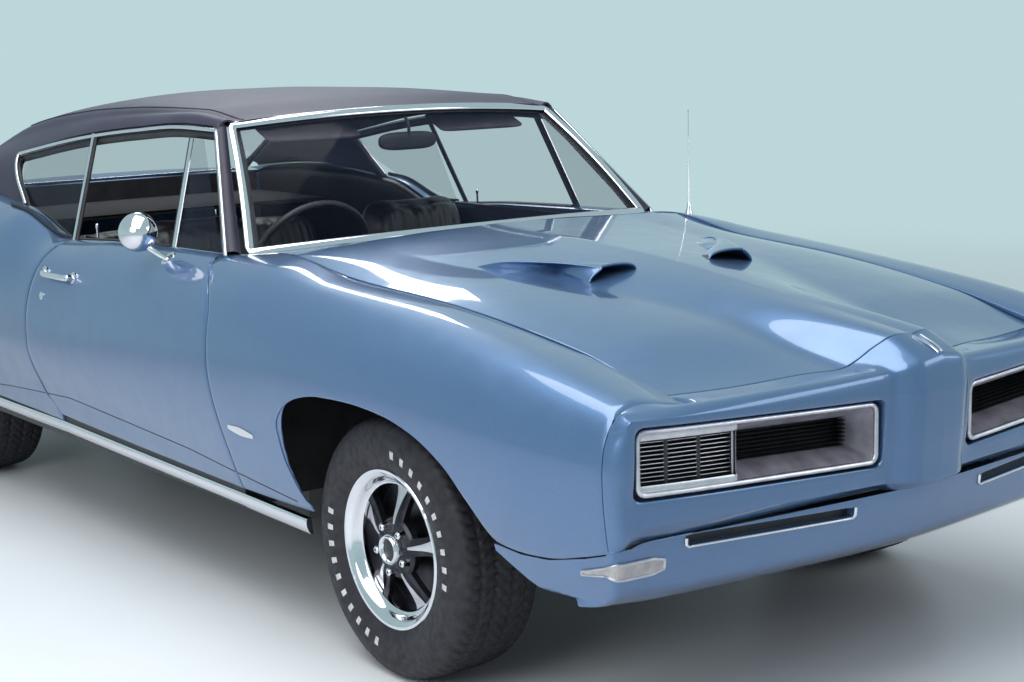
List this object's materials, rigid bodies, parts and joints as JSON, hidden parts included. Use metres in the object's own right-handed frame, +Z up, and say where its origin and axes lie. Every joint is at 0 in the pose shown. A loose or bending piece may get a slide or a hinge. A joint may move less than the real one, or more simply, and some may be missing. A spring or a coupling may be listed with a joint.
{
  "type": "two-door muscle car",
  "caption": "Two-door hardtop muscle car with a body-coloured nose, split grilles hiding the headlamps, hood scoops, vinyl roof and five-spoke wheels.",
  "frame": {"origin": "on the ground, at the middle of the car's overall length and width", "axes": "+Z up, -Y towards the front of the car, +X towards its own left side"},
  "size_m": [1.9, 5.098, 1.3759],
  "materials": {
    "paint": "metallic medium blue, gloss",
    "vinyl": "grained black-plum vinyl",
    "chassis_black": "satin black",
    "chrome": "polished",
    "glass": "clear",
    "tyre": "black rubber",
    "rally_wheel": "chrome lip, grey spokes",
    "iron": "bare",
    "steel": "aluminised",
    "trim_black": "satin black",
    "seat_vinyl": "black pleated vinyl",
    "amber_lens": "clear-amber lens",
    "red_lens": "red lens"
  },
  "bodies": {
    "body": {"frame": "chassis_black", "floor_pan": "chassis_black", "firewall": "chassis_black", "rockers": "paint", "fenders": "paint", "quarter_panels": "paint", "roof": "vinyl", "door_hinges": "chassis_black", "cowl": "paint", "nose_bumper": "paint", "grilles": "trim_black", "front_valance": "paint", "turn_lamps": "amber_lens", "rear_shelf": "paint", "tail_panel": "paint", "rear_bumper": "chrome", "tail_lamps": "red_lens", "plate_bracket": "chassis_black", "windshield": "glass", "rear_glass": "glass", "quarter_glass": "glass", "front_suspension": "chassis_black", "rear_axle": "chassis_black", "wheelhouses": "chassis_black", "quarter_trim": "seat_vinyl", "engine": "iron", "radiator": "chassis_black", "driveline": "iron", "exhaust": "steel", "fuel_tank": "steel", "front_seats": "seat_vinyl", "rear_seat": "seat_vinyl", "dashboard": "trim_black", "steering_column": "trim_black", "antenna": "chrome"},
    "hood": {"hood": "paint"},
    "deck_lid": {"deck_lid": "paint"},
    "door_left": {"door_left": "paint", "vent_left": "glass", "door_handle_left": "chrome"},
    "door_right": {"door_right": "paint", "vent_right": "glass", "door_handle_right": "chrome", "door_mirror": "chrome"},
    "steering_wheel": {"steering_wheel": "trim_black"},
    "knuckle_left": {"knuckle_left": "iron"},
    "knuckle_right": {"knuckle_right": "iron"},
    "wheel_front_left": {"tyre_front_left": "tyre", "wheel_front_left": "rally_wheel"},
    "wheel_front_right": {"tyre_front_right": "tyre", "wheel_front_right": "rally_wheel"},
    "wheel_rear_left": {"tyre_rear_left": "tyre", "wheel_rear_left": "rally_wheel"},
    "wheel_rear_right": {"tyre_rear_right": "tyre", "wheel_rear_right": "rally_wheel"}
  },
  "joints": [
    {"name": "hood_hinge", "type": "hinge", "parent": "body", "child": "hood", "pos_m": [0, -0.881, 0.9765], "axis": [-1, 0, 0], "range_deg": [0, 52]},
    {"name": "deck_lid_hinge", "type": "hinge", "parent": "body", "child": "deck_lid", "pos_m": [0, 1.763, 0.9655], "axis": [1, 0, 0], "range_deg": [0, 70]},
    {"name": "door_left_hinge", "type": "hinge", "parent": "body", "child": "door_left", "pos_m": [0.905, -0.8, 0.621], "axis": [0, 0, -1], "range_deg": [0, 62]},
    {"name": "door_right_hinge", "type": "hinge", "parent": "body", "child": "door_right", "pos_m": [-0.905, -0.8, 0.621], "axis": [0, 0, 1], "range_deg": [0, 62]},
    {"name": "steering_left", "type": "hinge", "parent": "body", "child": "knuckle_left", "pos_m": [0.672, -1.584, 0.325], "axis": [0, 0, 1], "range_deg": [-32, 32]},
    {"name": "steering_right", "type": "hinge", "parent": "body", "child": "knuckle_right", "pos_m": [-0.672, -1.584, 0.325], "axis": [0, 0, 1], "range_deg": [-32, 32]},
    {"name": "steering_wheel_turn", "type": "hinge", "parent": "body", "child": "steering_wheel", "pos_m": [-0.38, -0.463, 0.879], "axis": [0, 0.9063, 0.4226], "range_deg": [-544, 544]},
    {"name": "wheel_front_left_spin", "type": "hinge", "parent": "knuckle_left", "child": "wheel_front_left", "pos_m": [0.762, -1.584, 0.325], "axis": [1, 0, 0], "continuous": true},
    {"name": "wheel_front_right_spin", "type": "hinge", "parent": "knuckle_right", "child": "wheel_front_right", "pos_m": [-0.762, -1.584, 0.325], "axis": [1, 0, 0], "continuous": true},
    {"name": "wheel_rear_left_spin", "type": "hinge", "parent": "body", "child": "wheel_rear_left", "pos_m": [0.762, 1.261, 0.325], "axis": [1, 0, 0], "continuous": true},
    {"name": "wheel_rear_right_spin", "type": "hinge", "parent": "body", "child": "wheel_rear_right", "pos_m": [-0.762, 1.261, 0.325], "axis": [1, 0, 0], "continuous": true}
  ],
  "couplings": [
    {"joint": "steering_right", "follows": "steering_left", "ratio": 1},
    {"joint": "steering_wheel_turn", "follows": "steering_left", "ratio": 17}
  ]
}
